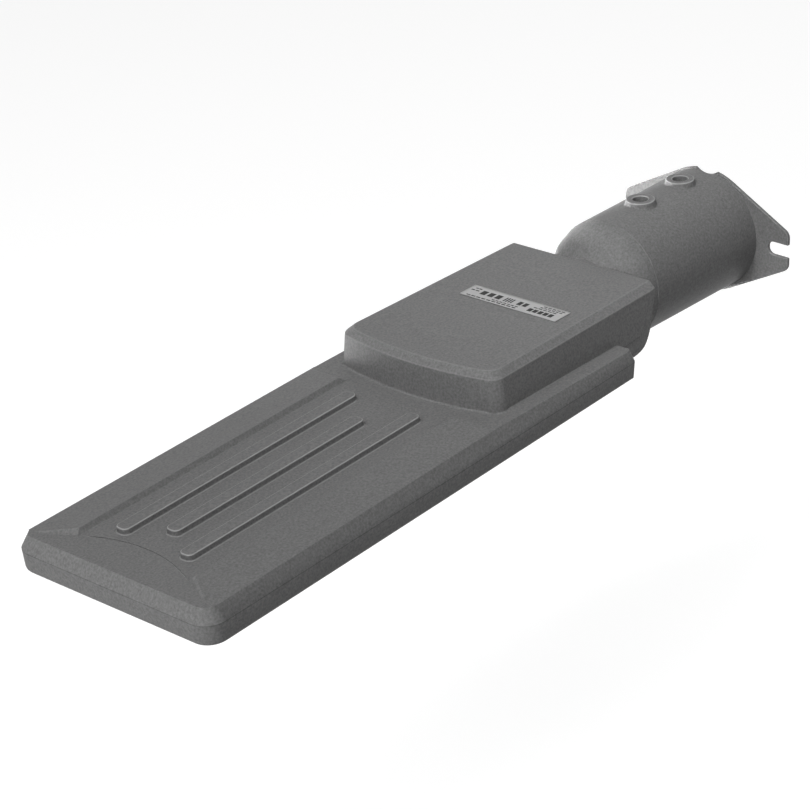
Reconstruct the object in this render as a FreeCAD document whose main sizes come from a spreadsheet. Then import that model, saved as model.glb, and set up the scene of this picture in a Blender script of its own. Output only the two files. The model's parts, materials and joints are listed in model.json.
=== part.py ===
"""LED street light head for a 60 mm pole end, in millimetres.

Row frame: origin at the centre of the spigot's mouth, on the bore axis, +X out of the mouth, +Y to the left
of someone who looks along +X, +Z up. The light plane of the head is level, and the spigot tilts down to
the rear by spigot_tilt.
Every piece is drawn in the head's own frame, whose x runs from the tip to the rear and whose z starts at
the underside, and each piece's Placement carries it to the row frame.
"""
import FreeCAD
import Part
import Sketcher
import math
import os

# Driving sizes, in the head's own frame

SIZES = {
    # Head plate, a shallow casting with a bevelled rim
    "head_reach": 454.7,
    "mouth_height": 11.08,
    "plate_length": 306.0,
    "plate_width": 128.0,
    "plate_height": 18.0,
    "plate_rear_height": 15.45,
    "slope_start": 192.0,
    "seam_height": 11.1,
    "seam_rear_height": 9.7,
    "rim_inset": 2.7,
    "bevel_run": 4.0,
    "rear_draft": 1.0,
    "front_corner": 10.7,
    "rear_corner": 4.0,
    # Ribs on the plate
    "rib_width": 8.3,
    "rib_height": 3.1,
    "rib_pitch": 20.8,
    "rib_draft": 6.0,
    "rib_corner": 3.2,
    "outer_rib_start": 28.9,
    "outer_rib_end": 186.9,
    "middle_rib_start": 40.8,
    "middle_rib_end": 169.5,
    # Raised side facets and the shallow ramp behind the front bevel
    "facet_inner": 37.6,
    "facet_foot": 1.8,
    "facet_rise": 2.6,
    "facet_end": 198.5,
    "facet_sink": 0.5,
    "mitre_start": 7.5,
    "mitre_corner": 55.4,
    "mitre_angle": 24.8,
    "mitre_slope": 38.0,
    "ramp_rise": 0.5,
    "ramp_reach": 26.0,
    "ramp_radius": 75.9,
    # Driver box
    "box_front": 204.5,
    "box_rear": 328.0,
    "box_front_radius": 190.0,
    "box_half_front": 52.8,
    "box_half_rear": 51.0,
    "box_draft": 6.3,
    "box_rear_lean": 23.3,
    "box_corner": 7.7,
    "box_front_height": 38.3,
    "box_rear_height": 35.3,
    "box_chamfer": 3.3,
    "box_heel": 25.0,
    "box_side_edge": 6.0,
    "box_roof": 3.3,
    # Neck, domed shoulder and spigot tube
    "spigot_tilt": 2.28,
    "tube_length": 89.4,
    "tube_front_radius": 33.4,
    "tube_mouth_radius": 34.2,
    "shoulder_length": 22.4,
    "shoulder_step": 0.3,
    "shoulder_edge": 17.5,
    "neck_radius": 16.8,
    "bore_radius": 30.25,
    "bore_depth": 83.0,
    "chamber_radius": 14.0,
    # Clamp screw bosses on the tube, with M10 tapped holes
    "boss_mouth_distance": 24.5,
    "boss_pitch": 35.4,
    "boss_height": 36.3,
    "boss_radius": 7.7,
    "boss_draft": 16.0,
    "clamp_hole_radius": 4.25,
    # Wall flange, a round plate with two ears, which sits a little low and turned about the tube
    "flange_thickness": 2.2,
    "flange_radius": 35.65,
    "flange_half_width": 54.65,
    "flange_side_flat": 10.6,
    "flange_corner": 5.0,
    "flange_drop": 0.65,
    "flange_turn": 1.5,
    "slot_width": 7.5,
    "slot_floor": 41.8,
    "notch_radius": 10.8,
    "notch_depth": 3.3,
    "notch_relief": 2.5,
    # Lamp bay under the plate
    "lamp_bay_front": 8.0,
    "lamp_bay_rear": 200.0,
    "lamp_bay_half": 56.0,
    "lamp_bay_depth": 13.4,
    "lamp_bay_corner": 6.0,
    "board_thickness": 1.6,
    "board_edge": 9.6,
    "board_clearance": 0.4,
    "lens_thickness": 2.5,
    "lens_clearance": 0.4,
    "gasket_thickness": 1.6,
    "gasket_width": 7.0,
    "dome_height": 4.0,
    "dome_width": 14.0,
    "dome_crown": 7.0,
    "dome_pitch_long": 26.0,
    "dome_pitch_wide": 27.0,
    "chip_side": 3.5,
    "chip_height": 0.7,
    # Driver bay under the box
    "bay_front": 216.0,
    "bay_rear": 302.0,
    "bay_half": 37.0,
    "bay_corner": 5.0,
    "cover_lip": 8.0,
    "cover_thickness": 2.0,
    "cover_half": 48.4,
    "groove_gap": 1.2,
    "groove_width": 2.2,
    "groove_depth": 1.2,
    # Driver, a slim sealed unit under the box roof
    "driver_front": 222.0,
    "driver_length": 60.0,
    "driver_width": 36.0,
    "driver_height": 22.0,
    "driver_centre": 11.5,
    "cap_length": 4.0,
    "ear_reach": 6.5,
    "ear_length": 8.0,
    "ear_thickness": 2.0,
    # Terminal block and wiring
    "terminal_front": 250.0,
    "terminal_length": 22.0,
    "terminal_width": 21.0,
    "terminal_height": 14.0,
    "terminal_centre": 25.5,
    "wire_radius": 1.1,
    "wire_drop": 3.0,
    "wire_pitch": 6.0,
    "lead_radius": 0.5,
    "lead_pitch": 6.0,
    "grommet_width": 12.0,
    "grommet_height": 6.0,
    "grommet_depth": 3.0,
    "lug_thickness": 0.8,
    "lug_radius": 5.0,
    "lug_gap": 18.0,
    # Cable gland in the wall behind the driver bay
    "gland_wall": 6.0,
    "gland_thread_radius": 8.0,
    "gland_bore_radius": 4.5,
    "gland_flange_radius": 10.5,
    "gland_flange": 5.0,
    "gland_stub": 6.0,
    "gland_nut": 4.0,
    "gland_cap_length": 14.0,
    "gland_lip": 2.0,
    # Screws and shared clearances
    "small_screw_radius": 1.5,
    "small_head_radius": 2.8,
    "small_head_height": 1.2,
    "large_screw_radius": 2.0,
    "large_head_radius": 3.5,
    "large_head_height": 2.4,
    "screw_slot": 0.8,
    "thread_depth": 3.0,
    "hole_clearance": 0.1,
    "fit_clearance": 0.1,
    # Rating label on the box
    "label_start": 276.6,
    "label_width": 12.7,
    "label_length": 62.5,
    "label_offset": 5.2,
    "label_thickness": 0.2,
}
LENS_COLUMNS = 3
LENS_ROWS = 6
LENS_SCREWS_A_SIDE = 4
COVER_SCREWS_A_SIDE = 3
SHEET = "Sizes"
X_AXIS = FreeCAD.Vector(1, 0, 0)
Y_AXIS = FreeCAD.Vector(0, 1, 0)
Z_AXIS = FreeCAD.Vector(0, 0, 1)


class Size:
    """A size as the document's own expression, beside the number it has now."""

    def __init__(self, text, value):
        self.text = text
        self.value = value

    def __add__(self, other):
        return combine(self, "+", other, lambda a, b: a + b)

    def __radd__(self, other):
        return combine(other, "+", self, lambda a, b: a + b)

    def __sub__(self, other):
        return combine(self, "-", other, lambda a, b: a - b)

    def __rsub__(self, other):
        return combine(other, "-", self, lambda a, b: a - b)

    def __mul__(self, other):
        return combine(self, "*", other, lambda a, b: a * b)

    def __rmul__(self, other):
        return combine(other, "*", self, lambda a, b: a * b)

    def __truediv__(self, other):
        return combine(self, "/", other, lambda a, b: a / b)

    def __neg__(self):
        return Size("(-" + self.text + ")", -self.value)


def as_size(item):
    """A Size, made from a plain number where it isn't one yet."""
    if isinstance(item, Size):
        return item
    return Size(repr(float(item)), float(item))


def combine(left, sign, right, work):
    """The Size of one operation on two sizes or numbers."""
    left = as_size(left)
    right = as_size(right)
    return Size(f"({left.text} {sign} {right.text})", work(left.value, right.value))


def tangent(angle):
    """Tangent of an angle given in degrees."""
    return Size(f"tan({angle.text})", math.tan(math.radians(angle.value)))


def sine(angle):
    """Sine of an angle given in degrees."""
    return Size(f"sin({angle.text})", math.sin(math.radians(angle.value)))


def cosine(angle):
    """Cosine of an angle given in degrees."""
    return Size(f"cos({angle.text})", math.cos(math.radians(angle.value)))


def slope_angle(rise, run):
    """Angle in degrees of a slope with this rise and run."""
    ratio = rise / run
    return Size(f"(atan({ratio.text}) / 1 deg)", math.degrees(math.atan(ratio.value)))


def root(square):
    """Square root of a size."""
    return Size(f"sqrt({square.text})", math.sqrt(square.value))


doc = FreeCAD.newDocument("street_light_head")
sheet = doc.addObject("Spreadsheet::Sheet", SHEET)
for row, (alias, number) in enumerate(SIZES.items(), start=1):
    sheet.set(f"A{row}", alias)
    sheet.set(f"B{row}", str(number))
    sheet.setAlias(f"B{row}", alias)
doc.recompute()


def size(alias):
    """The sheet's cell of that name."""
    return Size(f"{SHEET}.{alias}", float(sheet.get(alias)))


# Helpers for placing, sketching and building


def bind(thing, path, amount):
    """Binds one property of a document object to a size."""
    thing.setExpression(path, as_size(amount).text)


def place_in_row_frame(piece):
    """Carries a piece from the head's own frame to the row frame."""
    bind(piece, "Placement.Base.x", -size("head_reach"))
    bind(piece, "Placement.Base.z", -size("mouth_height"))


def new_body(label, placed=True):
    """An empty body, for one piece of its own or for the base of a joined one."""
    body = doc.addObject("PartDesign::Body", label)
    body.Label = label
    if placed:
        place_in_row_frame(body)
    return body


def attach(feature, body, role="XY_Plane", base=(0, 0, 0), axis=None, turn=None):
    """Attaches a feature to one of its body's planes, moved by base and turned about an axis of that plane."""
    plane = next(item for item in body.Origin.OriginFeatures if item.Role == role)
    feature.AttachmentSupport = (plane, [""])
    feature.MapMode = "FlatFace"
    spots = [as_size(item) for item in base]
    rotation = FreeCAD.Rotation()
    if axis is not None:
        rotation = FreeCAD.Rotation(axis, turn.value)
    feature.AttachmentOffset = FreeCAD.Placement(FreeCAD.Vector(*[spot.value for spot in spots]), rotation)
    for letter, spot in zip("xyz", spots):
        bind(feature, "AttachmentOffset.Base." + letter, spot)
    if axis is not None:
        bind(feature, "AttachmentOffset.Rotation.Angle", turn)


def new_sketch(body, name, **where):
    """An empty sketch in a body, attached as attach says."""
    sketch = body.newObject("Sketcher::SketchObject", name)
    attach(sketch, body, **where)
    return sketch


def constrain(sketch, kind, *references, amount=None):
    """Adds a constraint, and binds its value where it has one."""
    if amount is None:
        sketch.addConstraint(Sketcher.Constraint(kind, *references))
        return
    amount = as_size(amount)
    index = sketch.addConstraint(Sketcher.Constraint(kind, *references, amount.value))
    sketch.setExpression(f"Constraints[{index}]", amount.text)


def pin_point(sketch, line, end, spot_x, spot_y):
    """Fixes a point of a sketch at a place measured from the sketch's origin."""
    for kind, own_axis, spot in (("DistanceX", -2, as_size(spot_x)), ("DistanceY", -1, as_size(spot_y))):
        if abs(spot.value) < 1e-9:
            constrain(sketch, "PointOnObject", line, end, own_axis)
        elif spot.value > 0:
            constrain(sketch, kind, -1, 1, line, end, amount=spot)
        else:
            constrain(sketch, kind, line, end, -1, 1, amount=-spot)


def add_circle(sketch, spot_x, spot_y, radius):
    """A full circle at a bound place."""
    spot_x = as_size(spot_x)
    spot_y = as_size(spot_y)
    radius = as_size(radius)
    centre = FreeCAD.Vector(spot_x.value, spot_y.value, 0)
    ring = sketch.addGeometry(Part.Circle(centre, Z_AXIS, radius.value), False)
    constrain(sketch, "Radius", ring, amount=radius)
    pin_point(sketch, ring, 3, spot_x, spot_y)


def add_outline(sketch, corners):
    """A closed line through corners (x, y, rounding), where a rounding of None leaves a sharp corner."""
    corners = [(as_size(cx), as_size(cy), rounding) for cx, cy, rounding in corners]
    points = [FreeCAD.Vector(cx.value, cy.value, 0) for cx, cy, rounding in corners]
    count = len(corners)
    starts = []
    ends = []
    for index, (cx, cy, rounding) in enumerate(corners):
        corner = points[index]
        back = (points[index - 1] - corner).normalize()
        ahead = (points[(index + 1) % count] - corner).normalize()
        reach = 0.0
        if rounding is not None:
            half_angle = back.getAngle(ahead) / 2
            reach = rounding.value / math.tan(half_angle)
        ends.append(corner + back * reach)
        starts.append(corner + ahead * reach)
    lines = []
    for index in range(count):
        following = (index + 1) % count
        lines.append(sketch.addGeometry(Part.LineSegment(starts[index], ends[following]), False))
    for index, (cx, cy, rounding) in enumerate(corners):
        before = lines[index - 1]
        after = lines[index]
        if rounding is None:
            constrain(sketch, "Coincident", before, 2, after, 1)
            pin_point(sketch, after, 1, cx, cy)
            continue
        marker = sketch.addGeometry(Part.Point(points[index]), True)
        pin_point(sketch, marker, 1, cx, cy)
        constrain(sketch, "PointOnObject", marker, 1, before)
        constrain(sketch, "PointOnObject", marker, 1, after)
        first = ends[index]
        last = starts[index]
        back = (points[index - 1] - points[index]).normalize()
        ahead = (points[(index + 1) % count] - points[index]).normalize()
        middle = (back + ahead).normalize()
        half_angle = back.getAngle(ahead) / 2
        distance = rounding.value / math.sin(half_angle)
        crown = points[index] + middle * (distance - rounding.value)
        arc = Part.Arc(first, crown, last)
        bend = sketch.addGeometry(arc, False)
        turns_left = back.cross(ahead).z < 0
        first_end, last_end = (1, 2) if turns_left else (2, 1)
        constrain(sketch, "Tangent", before, 2, bend, first_end)
        constrain(sketch, "Tangent", bend, last_end, after, 1)
        constrain(sketch, "Radius", bend, amount=rounding)


def add_rectangle(sketch, low_x, high_x, low_y, high_y, rounding=None):
    """A rectangle, with rounded corners where a rounding is given."""
    corners = [(low_x, low_y), (high_x, low_y), (high_x, high_y), (low_x, high_y)]
    add_outline(sketch, [(cx, cy, rounding) for cx, cy in corners])


def add_band(sketch, front, rear, half, rounding=None):
    """A rectangle that lies symmetric about the centre plane."""
    add_rectangle(sketch, front, rear, -half, half, rounding)


def extrude(body, kind, sketch, name, length, taper=None, reverse=False, both=False):
    """A pad or pocket of a sketch."""
    feature = body.newObject("PartDesign::" + kind, name)
    feature.Profile = sketch
    feature.Length = as_size(length).value
    bind(feature, "Length", length)
    feature.Reversed = reverse
    if both:
        feature.SideType = "Symmetric"
    if taper is not None:
        feature.TaperAngle = taper.value
        bind(feature, "TaperAngle", taper)
    body.Tip = feature
    return feature


def add_loft(body, sketches, name):
    """A solid with straight walls from sketch to sketch."""
    feature = body.newObject("PartDesign::AdditiveLoft", name)
    feature.Profile = sketches[0]
    feature.Sections = [(sketch, [""]) for sketch in sketches[1:]]
    feature.Ruled = True
    body.Tip = feature
    return feature


def add_primitive(body, kind, name, amounts, **where):
    """A cylinder, cone, box or ellipsoid feature with bound sizes."""
    feature = body.newObject("PartDesign::" + kind, name)
    attach(feature, body, **where)
    for key, amount in amounts.items():
        setattr(feature, key, as_size(amount).value)
        bind(feature, key, amount)
    body.Tip = feature
    return feature


def cylinder(name, radius, length, low, axis=Z_AXIS):
    """A Part cylinder that starts at low and runs along +X, +Y or +Z."""
    item = doc.addObject("Part::Cylinder", name)
    bind(item, "Radius", radius)
    bind(item, "Height", length)
    item.Placement = FreeCAD.Placement(FreeCAD.Vector(), FreeCAD.Rotation(Z_AXIS, axis))
    for letter, spot in zip("xyz", low):
        bind(item, "Placement.Base." + letter, spot)
    return item


def block(name, low, spans):
    """A Part box that starts at its lowest corner."""
    item = doc.addObject("Part::Box", name)
    for key, span in zip(("Length", "Width", "Height"), spans):
        bind(item, key, span)
    for letter, spot in zip("xyz", low):
        bind(item, "Placement.Base." + letter, spot)
    return item


def join(name, *items):
    """One solid fused from several."""
    fused = doc.addObject("Part::MultiFuse", name)
    fused.Shapes = list(items)
    fused.Refine = True
    return fused


def cut(name, base, *tools):
    """A solid with one or more others taken away."""
    result = base
    for index, tool in enumerate(tools):
        step = doc.addObject("Part::Cut", name if index == len(tools) - 1 else f"{name}_step_{index}")
        step.Base = result
        step.Tool = tool
        result = step
    return result


def finish(label, item):
    """Makes a finished solid the piece of that name."""
    item.Label = label
    place_in_row_frame(item)
    return item


def group(label, items):
    """One node that holds several alike but separate solids."""
    node = doc.addObject("Part::Compound", label)
    node.Label = label
    node.Links = items
    place_in_row_frame(node)
    return node


def screw(name, spot_x, spot_y, seat, large, grip):
    """A screw driven upwards: its head's top face lies at seat, and grip is the shank's length above it."""
    prefix = "large" if large else "small"
    head_height = size(prefix + "_head_height")
    head_radius = size(prefix + "_head_radius")
    shank_radius = size(prefix + "_screw_radius")
    slot = size("screw_slot")
    head = cylinder(name + "_head", head_radius, head_height, (spot_x, spot_y, seat - head_height))
    shank = cylinder(name + "_shank", shank_radius, grip, (spot_x, spot_y, seat))
    groove = block(name + "_slot", (spot_x - head_radius * 2, spot_y - slot / 2, seat - head_height * 1.5),
                   (head_radius * 4, slot, head_height))
    return cut(name, join(name + "_blank", head, shank), groove)


# Places worked out from the driving sizes

half_width = size("plate_width") / 2
tilt = size("spigot_tilt")
reach = size("head_reach")
mouth_height = size("mouth_height")
deck = size("plate_height")
lamp_depth = size("lamp_bay_depth")
board_ceiling = lamp_depth + size("board_thickness")
lens_top = lamp_depth - size("gasket_thickness")
lens_bottom = lens_top - size("lens_thickness")
bay_ceiling = size("box_rear_height") - size("box_roof")
groove_inner = size("groove_gap")
groove_outer = size("groove_gap") + size("groove_width")
chamber_front = size("bay_rear") + size("gland_wall")
gland_height = mouth_height + (reach - chamber_front) * tangent(tilt)
driver_rear = size("driver_front") + size("driver_length") + size("cap_length") * 2
wire_height = bay_ceiling - size("wire_drop")
lead_height = lamp_depth + size("board_thickness") / 2
lead_middle = size("driver_centre") - size("driver_width") / 4


def on_tube(distance, height):
    """Head frame place, at a distance ahead of the mouth along the tilted tube and a height above its axis."""
    spot_x = reach - cosine(tilt) * distance + sine(tilt) * height
    spot_z = mouth_height + sine(tilt) * distance + cosine(tilt) * height
    return spot_x, 0, spot_z


def screw_rows(first, last, count, half):
    """Places of two rows of screws, evenly spaced and symmetric about the centre plane."""
    pitch = (last - first) / (count - 1)
    return [(first + pitch * index, side * half) for side in (-1, 1) for index in range(count)]


lens_screw_spots = screw_rows(size("lamp_bay_front") + 12, size("lamp_bay_rear") - 12, LENS_SCREWS_A_SIDE,
                              size("lamp_bay_half") - size("gasket_width") / 2)
cover_front = size("bay_front") - size("cover_lip")
cover_rear = size("bay_rear") + size("cover_lip")
cover_screw_line = (size("cover_half") + size("bay_half") + groove_outer) / 2
cover_screw_spots = screw_rows(cover_front + 7, cover_rear - 7, COVER_SCREWS_A_SIDE, cover_screw_line)
board_front = size("lamp_bay_front") + size("board_edge")
board_rear = size("lamp_bay_rear") - size("board_edge")
board_half = size("lamp_bay_half") - size("board_edge")
board_screw_spots = screw_rows(board_front + 6, board_rear - 6, 2, board_half - 5)
ear_line = size("driver_width") / 2 + size("ear_reach") / 2
driver_screw_spots = [(spot_x, size("driver_centre") + side)
                      for spot_x in (size("driver_front") + size("ear_length") / 2,
                                     driver_rear - size("ear_length") / 2)
                      for side in (-ear_line, ear_line)]
lug_spot = (size("terminal_front") - size("lug_gap"), -size("terminal_centre"))


# Housing, one die casting


def bowed_outline(sketch, front, rear, half_front, half_rear):
    """Outline of the box: a bowed front, rounded front corners, sides that close to the rear, a straight rear."""
    bow = size("box_front_radius")
    corner = size("box_corner")
    middle_x = front + bow
    centre_y = half_front - corner
    inner = bow - corner
    centre_x = middle_x - root(inner * inner - centre_y * centre_y)
    grow = bow.value / inner.value
    touch_x = middle_x.value + (centre_x.value - middle_x.value) * grow
    touch_y = centre_y.value * grow
    upper = FreeCAD.Vector(touch_x, touch_y, 0)
    lower = FreeCAD.Vector(touch_x, -touch_y, 0)
    crown = FreeCAD.Vector(front.value, 0, 0)
    arc = sketch.addGeometry(Part.Arc(upper, crown, lower), False)
    spin = math.radians(45)
    bends = []
    sides = []
    for side, touch in ((-1, lower), (1, upper)):
        centre = FreeCAD.Vector(centre_x.value, centre_y.value * side, 0)
        top = FreeCAD.Vector(centre_x.value, half_front.value * side, 0)
        knee = centre + FreeCAD.Vector(-math.sin(spin), math.cos(spin) * side, 0) * corner.value
        end = FreeCAD.Vector(rear.value, half_rear.value * side, 0)
        bends.append(sketch.addGeometry(Part.Arc(touch, knee, top), False))
        sides.append(sketch.addGeometry(Part.LineSegment(top, end), False))
    low_end = FreeCAD.Vector(rear.value, -half_rear.value, 0)
    high_end = FreeCAD.Vector(rear.value, half_rear.value, 0)
    back = sketch.addGeometry(Part.LineSegment(low_end, high_end), False)
    constrain(sketch, "Radius", arc, amount=bow)
    pin_point(sketch, arc, 3, middle_x, as_size(0))
    constrain(sketch, "Tangent", arc, 2, bends[0], 1)
    constrain(sketch, "Tangent", arc, 1, bends[1], 2)
    constrain(sketch, "Tangent", bends[0], 2, sides[0], 1)
    constrain(sketch, "Tangent", bends[1], 1, sides[1], 1)
    for bend in bends:
        constrain(sketch, "Radius", bend, amount=corner)
    for side, line in ((-1, sides[0]), (1, sides[1])):
        marker = sketch.addGeometry(Part.Point(FreeCAD.Vector(front.value, half_front.value * side, 0)), True)
        pin_point(sketch, marker, 1, front, half_front * side)
        constrain(sketch, "PointOnObject", marker, 1, line)
    constrain(sketch, "Coincident", sides[0], 2, back, 1)
    constrain(sketch, "Coincident", sides[1], 2, back, 2)
    pin_point(sketch, back, 1, rear, -half_rear)
    pin_point(sketch, back, 2, rear, half_rear)


def add_box(body):
    """Driver box: drafted walls, a chamfered top that falls to the rear, and a rounded heel."""
    lean = tangent(size("box_draft"))
    rear_lean = tangent(size("box_rear_lean"))
    base_x = size("box_rear")
    span = base_x - size("box_front")
    fall = slope_angle(size("box_front_height") - size("box_rear_height"), span)
    levels = (("foot", as_size(0), as_size(0), as_size(0)),
              ("shoulder_line", size("box_front_height") - size("box_chamfer"), fall, as_size(0)),
              ("crest", size("box_front_height"), fall, size("box_chamfer")))
    sketches = []
    for word, height, turn, inset in levels:
        sketch = new_sketch(body, "box_" + word, base=(0, 0, height + tangent(turn) * size("box_front")),
                            axis=Y_AXIS, turn=turn)
        rear_height = height - tangent(turn) * span
        bowed_outline(sketch, size("box_front") + lean * (height - deck) + inset, base_x + rear_lean * rear_height,
                      size("box_half_front") - lean * (height - deck) - inset,
                      size("box_half_rear") - lean * (rear_height - deck) - inset)
        sketches.append(sketch)
    add_loft(body, sketches[:2], "box_walls")
    add_loft(body, sketches[1:], "box_chamfered_top")
    heel = new_sketch(body, "box_heel_profile", role="XZ_Plane")
    reach_up = size("box_heel")
    start = base_x - reach_up
    past = base_x + reach_up
    below = as_size(-5)
    add_outline(heel, [(start, as_size(0), None), (start, below, None), (past, below, None),
                       (past, reach_up, None), (base_x + rear_lean * reach_up, reach_up, None),
                       (base_x, as_size(0), size("box_heel"))])
    extrude(body, "Pocket", heel, "box_heel_cut", size("plate_width") * 2, both=True)
    edge = size("box_side_edge")
    wall = size("box_half_rear") + lean * deck
    for side, word in ((1, "left"), (-1, "right")):
        corner = new_sketch(body, "box_side_edge_" + word, role="YZ_Plane", base=(0, 0, size("plate_length") + 1))
        add_outline(corner, [(wall * side, as_size(0), edge), ((wall - edge * 2) * side, as_size(0), None),
                             ((wall - edge * 2) * side, below, None), (half_width * side, below, None),
                             (half_width * side, edge * 2, None), ((wall - lean * edge * 2) * side, edge * 2, None)])
        extrude(body, "Pocket", corner, "box_side_edge_cut_" + word, size("box_heel") * 2, reverse=True)


def plate_outline(sketch, inset, rear_inset, front_rounding, rear_rounding):
    """Outline of the head plate, drawn in by inset at its front and sides and by rear_inset at its rear."""
    rear = size("plate_length") - rear_inset
    corners = [(inset, -(half_width - inset), front_rounding), (rear, -(half_width - inset), rear_rounding),
               (rear, half_width - inset, rear_rounding), (inset, half_width - inset, front_rounding)]
    add_outline(sketch, corners)


def add_plate(body):
    """Head plate: walls that lean in below the parting seam, and a bevel above it."""
    seam_tilt = slope_angle(size("seam_height") - size("seam_rear_height"), size("plate_length"))
    draft = size("rear_draft")
    under = new_sketch(body, "plate_underside")
    plate_outline(under, size("rim_inset"), draft, size("front_corner") - size("rim_inset"), size("rear_corner") - draft)
    seam = new_sketch(body, "plate_seam", base=(0, 0, size("seam_height")), axis=Y_AXIS, turn=seam_tilt)
    plate_outline(seam, as_size(0), as_size(0), size("front_corner"), size("rear_corner"))
    top = new_sketch(body, "plate_top", base=(0, 0, deck))
    plate_outline(top, size("bevel_run"), draft, size("front_corner") - size("bevel_run"), size("rear_corner") - draft)
    add_loft(body, [under, seam], "plate_wall")
    add_loft(body, [seam, top], "plate_bevel")


def add_rear_slope(body):
    """Top of the plate falls gently to the rear from slope_start."""
    run = size("plate_length") - size("slope_start")
    fall = (deck - size("plate_rear_height")) / run
    past = size("plate_length") + size("bevel_run")
    profile = new_sketch(body, "rear_slope", role="XZ_Plane")
    add_outline(profile, [(size("slope_start"), deck, None), (past, deck - fall * (run + size("bevel_run")), None),
                          (past, deck * 2, None), (size("slope_start"), deck * 2, None)])
    extrude(body, "Pocket", profile, "rear_slope_cut", size("plate_width") * 2, both=True)


def add_facets(body):
    """Side facets that rise towards the ribs, with sloped ends that are mitred at the front."""
    outer = half_width - size("bevel_run")
    inner = size("facet_inner")
    foot = inner - size("facet_foot")
    sunk = deck - size("facet_sink")
    begin = size("mitre_start") + size("facet_sink")
    for side, word in ((1, "left"), (-1, "right")):
        profile = new_sketch(body, "facet_" + word, role="YZ_Plane", base=(0, 0, begin))
        add_outline(profile, [(outer * side, deck, None), (inner * side, deck + size("facet_rise"), None),
                              (foot * side, deck, None), (foot * side, sunk, None), (inner * side, sunk, None)])
        extrude(body, "Pad", profile, "facet_pad_" + word, size("facet_end") + size("facet_rise") - begin)
    spare = size("facet_foot") * 2
    across = tangent(size("mitre_angle"))
    near = size("mitre_start") + (size("mitre_corner") - (outer + spare)) * across
    far = size("mitre_start") + (size("mitre_corner") - (foot - spare)) * across
    rear = size("facet_end")
    taper = as_size(90) - size("mitre_slope")
    for side, word in ((1, "left"), (-1, "right")):
        front_end = new_sketch(body, "facet_front_" + word, base=(0, 0, deck))
        add_outline(front_end, [(-spare, (outer + spare) * side, None), (near, (outer + spare) * side, None),
                                (far, (foot - spare) * side, None), (-spare, (foot - spare) * side, None)])
        extrude(body, "Pocket", front_end, "facet_mitre_" + word, size("facet_rise") * 2, taper, reverse=True)
        rear_end = new_sketch(body, "facet_rear_" + word, base=(0, 0, deck))
        add_rectangle(rear_end, rear, rear + spare * 4, (foot - spare) * side, (outer + spare) * side)
        extrude(body, "Pocket", rear_end, "facet_end_" + word, size("facet_rise") * 2, taper, reverse=True)


def add_ribs(body):
    """Three raised ribs with rounded ends and softened top edges."""
    for lane, word in ((-1, "right"), (0, "middle"), (1, "left")):
        start = size("middle_rib_start") if lane == 0 else size("outer_rib_start")
        end = size("middle_rib_end") if lane == 0 else size("outer_rib_end")
        middle = size("rib_pitch") * lane
        edge = size("rib_width") / 2
        outline = new_sketch(body, "rib_" + word, base=(0, 0, deck))
        add_rectangle(outline, start, end, middle - edge, middle + edge, size("rib_corner"))
        extrude(body, "Pad", outline, "rib_pad_" + word, size("rib_height"), -size("rib_draft"))


def add_ramp(body):
    """Shallow ramp behind the front bevel, between the mitred facets, which ends in a low curved step."""
    rise = size("ramp_rise")
    begin = size("bevel_run")
    radius = size("ramp_radius")
    centre = size("ramp_reach") - radius - begin
    edge = size("facet_inner") - size("facet_foot") / 2
    end_x = centre + root(radius * radius - edge * edge)
    corner = size("mitre_corner") - 2
    corner_x = size("mitre_start") + (size("mitre_corner") - corner) * tangent(size("mitre_angle")) + rise - begin
    plan = new_sketch(body, "ramp_plan", base=(begin, 0, deck), axis=Y_AXIS,
                      turn=-slope_angle(rise, size("ramp_reach") - begin))
    start = FreeCAD.Vector(end_x.value, -edge.value, 0)
    crown = FreeCAD.Vector(centre.value + radius.value, 0, 0)
    end = FreeCAD.Vector(end_x.value, edge.value, 0)
    arc = plan.addGeometry(Part.Arc(start, crown, end), False)
    constrain(plan, "Radius", arc, amount=radius)
    pin_point(plan, arc, 3, centre, as_size(0))
    corners = [(end_x, edge), (corner_x, corner), (as_size(0), corner), (as_size(0), -corner),
               (corner_x, -corner), (end_x, -edge)]
    points = [FreeCAD.Vector(cx.value, cy.value, 0) for cx, cy in corners]
    lines = [plan.addGeometry(Part.LineSegment(points[index], points[index + 1]), False) for index in range(5)]
    constrain(plan, "Coincident", arc, 2, lines[0], 1)
    constrain(plan, "Coincident", lines[4], 2, arc, 1)
    for index in range(4):
        constrain(plan, "Coincident", lines[index], 2, lines[index + 1], 1)
        pin_point(plan, lines[index], 2, *corners[index + 1])
    constrain(plan, "DistanceY", -1, 1, lines[0], 1, amount=edge)
    constrain(plan, "DistanceY", lines[4], 2, -1, 1, amount=edge)
    extrude(body, "Pad", plan, "ramp_pad", rise * 2, reverse=True)


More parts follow.
